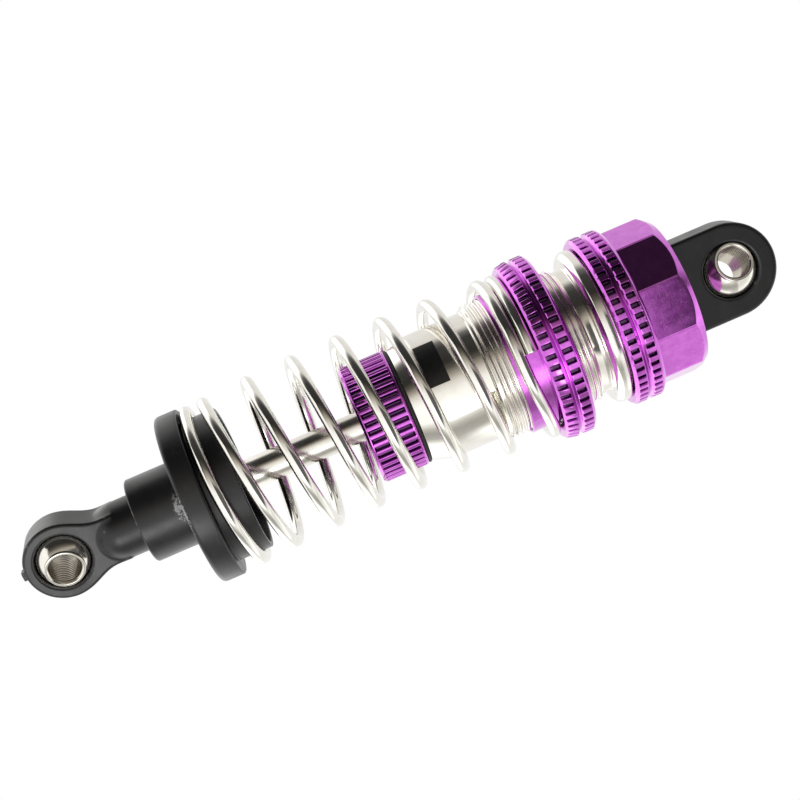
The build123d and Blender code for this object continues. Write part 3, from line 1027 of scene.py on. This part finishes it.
def make_top_cap():
    """The cap: two knurled rings, ten flats, and a cone turned on its top edge."""
    low, high = heights("top_cap")
    split = low + cap_ring_height + ring_groove
    rings_top = split + cap_ring_height
    cone_foot = high - cap_edge_height
    upright = np.linspace(rings_top + 0.05, cone_foot - 0.1, 8)
    cone = np.linspace(cone_foot - 0.05, high - 0.12, 30)
    corners = [
        (cap_thread_r, low, 0.1),
        *toothed_ring(cap_ring_r, low, cap_ring_height, ring_chamfer, cap_lower_gaps),
        *toothed_ring(cap_ring_r, split, cap_ring_height, ring_chamfer, cap_upper_gaps),
        *[(cap_corner_r, level, 0) for level in (*upright, *cone)],
        (cap_corner_r - cap_edge_width, high, 0.12),
        (cap_hole_r, high, 0.1),
        (cap_hole_r, cap_cavity_top, 0.05),
        (cap_cavity_r, cap_cavity_top, 0.1),
        (cap_cavity_r, cap_shoulder, 0.05),
        (cap_thread_r, cap_shoulder, 0.05),
    ]
    side = tau / cap_facets

    def flats(turns, radii, levels):
        first = radians(cap_facet_turn)
        beside_corner = radians(0.2) * np.array((-3, -2, -1, 1, 2, 3))
        added = (first + side * np.arange(cap_facets)[:, None] + beside_corner[None, :]).ravel()
        start = turns[0]
        where = np.concatenate((turns[:-1], start + (added - start) % tau))
        order = np.argsort(where)
        sources = np.concatenate((np.arange(len(turns) - 1), np.full(len(added), -1)))[order]
        where = where[order]
        shaped = np.stack([np.interp(where, turns, row) for row in radii.T], axis=1)
        kept = sources >= 0
        shaped[kept] = radii[sources[kept]]
        turn_in = (where - first) % side - side / 2
        flat = cap_corner_r * cos(side / 2) / np.cos(turn_in)
        corner_ease = 0.035
        flat = flat - corner_ease * np.exp(-((side / 2 - np.abs(turn_in)) / radians(0.45)) ** 2)
        height = np.tile(levels[0], (len(where), 1))
        slope = cap_corner_r - cap_edge_width * (height - cone_foot) / cap_edge_height
        edge_ease = 0.03
        gap = flat[:, None] - slope
        eased = 0.5 * (flat[:, None] + slope - np.sqrt(gap**2 + edge_ease**2))
        outside = (height > rings_top + 0.01) & (shaped >= cap_corner_r - cap_edge_width - 0.2)
        shaped = np.where(outside, np.minimum(shaped, eased), shaped)
        closed = np.append(where, where[0] + tau)
        return closed, np.vstack((shaped, shaped[:1])), np.vstack((height, height[:1]))

    return knurled(
        "cap", corners, (pad_columns, cap_teeth, radians(cap_tooth_turn), cap_ring_r),
        "barrel", purple, ["top_cap"], reshape=flats,
    )


make_top_cap()


# ---- Coil spring ----


def ease(value):
    """A smooth step from 0 to 1."""
    t = np.clip(value, 0, 1)
    return t * t * (3 - 2 * t)


def make_spring():
    """The wire, closed at both ends and slightly bowed. The open coils share the travel by their pitch."""
    foot = cup_flange_top + wire_r
    head = collar_seat - wire_r
    per_turn = 72
    end_bevel = np.array((0, 0.015, 0.04, 0.08)) / (tau * coil_r)
    along = np.concatenate((
        end_bevel,
        np.linspace(0.003, spring_turns - 0.003, int(spring_turns * per_turn)),
        spring_turns - end_bevel[::-1],
    ))
    thickness = np.full(len(along), wire_r)
    thickness[:3] = thickness[:-4:-1] = np.array((0.49, 0.55, 0.588))
    left = spring_turns - along
    open_coils = ease((along - spring_lower_closed) / spring_blend_turns + 0.5)
    open_coils *= ease((left - spring_upper_closed) / spring_blend_turns + 0.5)
    open_coils *= 1 + (spring_last_coil - 1) * ease((spring_last_coil_turns - left) / 0.4)
    steps = np.diff(along)
    opened = np.concatenate(([0], np.cumsum(steps * (open_coils[1:] + open_coils[:-1]) / 2)))
    rise = head - foot - closed_pitch * spring_turns
    height = foot + closed_pitch * along + rise * opened / opened[-1]
    share = (height - foot) / (head - foot)
    height += closed_pitch * left * ease((spring_flat_turns - left) / spring_blend_turns + 0.5)
    height += spring_foot_lift * ease((along - 0.3) / 0.3) * ease((1.1 - along) / 0.35)
    axis_x = -spring_bow * np.sin(pi * share)
    lean = spring_bow * pi / (head - foot) * np.cos(pi * share)
    lean *= ease(along - 0.1) * ease(left - 0.35) * np.where(share < 0.5, 1.0, 0.5)
    turn = radians(spring_start_turn) + tau * along
    x = axis_x + coil_r * np.cos(turn)
    y = coil_r * np.sin(turn)
    centre = np.stack((x, y, height + lean * coil_r * np.cos(turn)), axis=-1)
    tangent = np.gradient(centre, along, axis=0)
    tangent /= np.linalg.norm(tangent, axis=1)[:, None]
    outward = np.stack((np.cos(turn), np.sin(turn), np.zeros(len(turn))), axis=-1)
    outward -= (outward * tangent).sum(axis=1)[:, None] * tangent
    outward /= np.linalg.norm(outward, axis=1)[:, None]
    upward = np.cross(tangent, outward)
    sides = 24
    ring = tau * np.arange(sides) / sides
    points = centre[:, None, :] + thickness[:, None, None] * (
        np.cos(ring)[None, :, None] * outward[:, None, :] + np.sin(ring)[None, :, None] * upward[:, None, :]
    )
    faces = grid_faces(sides, len(along))
    faces += [tuple(range(sides)), tuple(range((len(along) - 1) * sides, len(along) * sides))]
    spring = shown_object("spring", points.reshape(-1, 3), faces, wire, 50)
    with_cup = np.repeat(1 - opened / opened[-1], sides)
    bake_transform(spring)
    collar_end = spring.vertex_groups.new(name="collar_end")
    for number, weight in enumerate(1 - with_cup):
        collar_end.add([number], float(weight), "REPLACE")
    follow = spring.modifiers.new("collar_end", "HOOK")
    follow.object = frame["bodies"]["collar_seal"]
    follow.vertex_group = collar_end.name
    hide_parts("coil_spring")


make_spring()


# ---- Floor, light and camera ----


def make_floor():
    material, principled = shader("floor", (0.9, 0.9, 0.9), 0.0, 0.8)
    cloud = noise(material, place_in_mm(material), 0.02, 2.0)
    colour = tint(material, cloud, (0.90, 0.90, 0.90), (0.88, 0.88, 0.88))
    link(material, colour, principled.inputs["Base Color"])
    principled.inputs["Emission Color"].default_value = (1, 1, 1, 1)
    principled.inputs["Emission Strength"].default_value = 0.6
    mesh = bpy.data.meshes.new("floor")
    half, level = 0.12, -0.12
    mesh.from_pydata(
        [(-half, -half, level), (half, -half, level), (half, half, level), (-half, half, level)],
        [], [(0, 1, 2, 3)],
    )
    mesh.materials.append(material)
    floor = bpy.data.objects.new("floor", mesh)
    bpy.context.scene.collection.objects.link(floor)


# Brightness of the studio round the shock: degrees from the front towards -X, and colour.
studio = (
    (-180, (0.95, 0.95, 0.95)),
    (-150, (1.0, 1.0, 1.0)),
    (-120, (0.98, 0.98, 0.96)),
    (-104, (0.76, 0.755, 0.745)),
    (-90, (0.52, 0.51, 0.49)),
    (-74, (0.42, 0.41, 0.39)),
    (-64, (0.60, 0.59, 0.56)),
    (-48, (1.25, 1.25, 1.23)),
    (-20, (1.25, 1.25, 1.24)),
    (-4, (1.10, 1.09, 1.07)),
    (10, (0.78, 0.74, 0.70)),
    (20, (0.42, 0.38, 0.33)),
    (32, (0.11, 0.10, 0.085)),
    (44, (0.03, 0.028, 0.025)),
    (76, (0.05, 0.05, 0.05)),
    (88, (0.16, 0.155, 0.15)),
    (102, (0.85, 0.83, 0.81)),
    (180, (0.95, 0.95, 0.95)),
)
# Patches over that, in degrees round the shock and above the horizon. Turns and heights are a start,
# an end and half the width of the soft edges. An edge is where a patch begins and where it's full.
top_turns = (-50, 12, 6)
top_edge = (11.1, 12.1)
top_dimming = 0.9
softbox_turns = (-50, -28, 5)
softbox_heights = (-26, -2, 4)
softbox_strength = 3.6
side_turns = (-125, -56, 6)
side_edge = (10.2, 11.6)
side_strength = 0.45
low_turns = ((-160, -96, 8), (100, 160, 8))
low_edge = (-2, -12)
low_strength = 0.7

camera_place = (-0.842, -147.28, 30.28)
camera_tilt = 92.078
camera_roll = 66.676
camera_lens = 68.29


def make_world():
    """A soft studio: white all round, a dark flag to one side, a dimmer top and a low softbox in front."""
    world = bpy.data.worlds.new("studio")
    world.use_nodes = True
    bpy.context.scene.world = world
    where = node(world, "ShaderNodeTexCoord").outputs["Generated"]
    axes = node(world, "ShaderNodeSeparateXYZ", {"Vector": where})
    back = node(world, "ShaderNodeMath", {0: axes.outputs["Y"], 1: -1.0}, operation="MULTIPLY")
    left = node(world, "ShaderNodeMath", {0: axes.outputs["X"], 1: -1.0}, operation="MULTIPLY")
    azimuth = node(
        world, "ShaderNodeMath", {0: left.outputs[0], 1: back.outputs[0]}, operation="ARCTAN2"
    ).outputs[0]
    ramp = node(world, "ShaderNodeValToRGB", {"Fac": mapped(world, azimuth, -pi, pi, 0, 1)})
    stops = ramp.color_ramp.elements
    stops[0].position, stops[1].position = 0, 1
    for degree, _ in studio[1:-1]:
        stops.new(degree / 360 + 0.5)
    for stop, (_, colour) in zip(stops, studio):
        stop.color = (*colour, 1)
    level = node(world, "ShaderNodeMath", {0: axes.outputs["Z"]}, operation="ARCSINE").outputs[0]

    def band(value, start, end, soft):
        up = mapped(world, value, radians(start - soft), radians(start + soft), 0, 1)
        down = mapped(world, value, radians(end - soft), radians(end + soft), 1, 0)
        return node(world, "ShaderNodeMath", {0: up, 1: down}, operation="MULTIPLY").outputs[0]

    def beyond(edge):
        shades = (0, 1) if edge[0] < edge[1] else (1, 0)
        return mapped(world, level, radians(min(edge)), radians(max(edge)), *shades)

    def both(a, b, strength):
        shared = node(world, "ShaderNodeMath", {0: a, 1: b}, operation="MULTIPLY").outputs[0]
        return node(world, "ShaderNodeMath", {0: shared, 1: strength}, operation="MULTIPLY").outputs[0]

    dim = both(band(azimuth, *top_turns), beyond(top_edge), top_dimming)
    kept = node(world, "ShaderNodeMath", {0: 1.0, 1: dim}, operation="SUBTRACT").outputs[0]
    softbox = both(band(azimuth, *softbox_turns), band(level, *softbox_heights), softbox_strength)
    side = both(band(azimuth, *side_turns), beyond(side_edge), side_strength)
    left_low, right_low = [band(azimuth, *turns) for turns in low_turns]
    lows = node(world, "ShaderNodeMath", {0: left_low, 1: right_low}, operation="ADD").outputs[0]
    low_sides = both(lows, beyond(low_edge), low_strength)
    added = softbox
    for light in (side, low_sides):
        added = node(world, "ShaderNodeMath", {0: added, 1: light}, operation="ADD").outputs[0]
    dimmed = node(world, "ShaderNodeVectorMath", {0: ramp.outputs["Color"]}, operation="SCALE")
    link(world, kept, dimmed.inputs["Scale"])
    lit = node(world, "ShaderNodeVectorMath", {0: dimmed.outputs[0], 1: added}, operation="ADD")
    camera_ray = node(world, "ShaderNodeLightPath").outputs["Is Camera Ray"]
    seen = node(
        world, "ShaderNodeMix", {0: camera_ray, 6: lit.outputs[0], 7: (1, 1, 1, 1)}, data_type="RGBA"
    )
    background = world.node_tree.nodes["Background"]
    link(world, seen.outputs[2], background.inputs["Color"])
    background.inputs["Strength"].default_value = 1.0


def make_camera():
    data = bpy.data.cameras.new("camera")
    data.lens = camera_lens
    data.sensor_width = 36
    data.clip_start = 0.01
    camera = bpy.data.objects.new("camera", data)
    bpy.context.scene.collection.objects.link(camera)
    aim = Matrix.Rotation(radians(camera_tilt), 4, "X") @ Matrix.Rotation(radians(camera_roll), 4, "Z")
    camera.matrix_world = Matrix.Translation(Vector(camera_place) * MM) @ aim
    bpy.context.scene.camera = camera


make_floor()
make_world()
make_camera()
bpy.context.scene.view_settings.view_transform = "Standard"
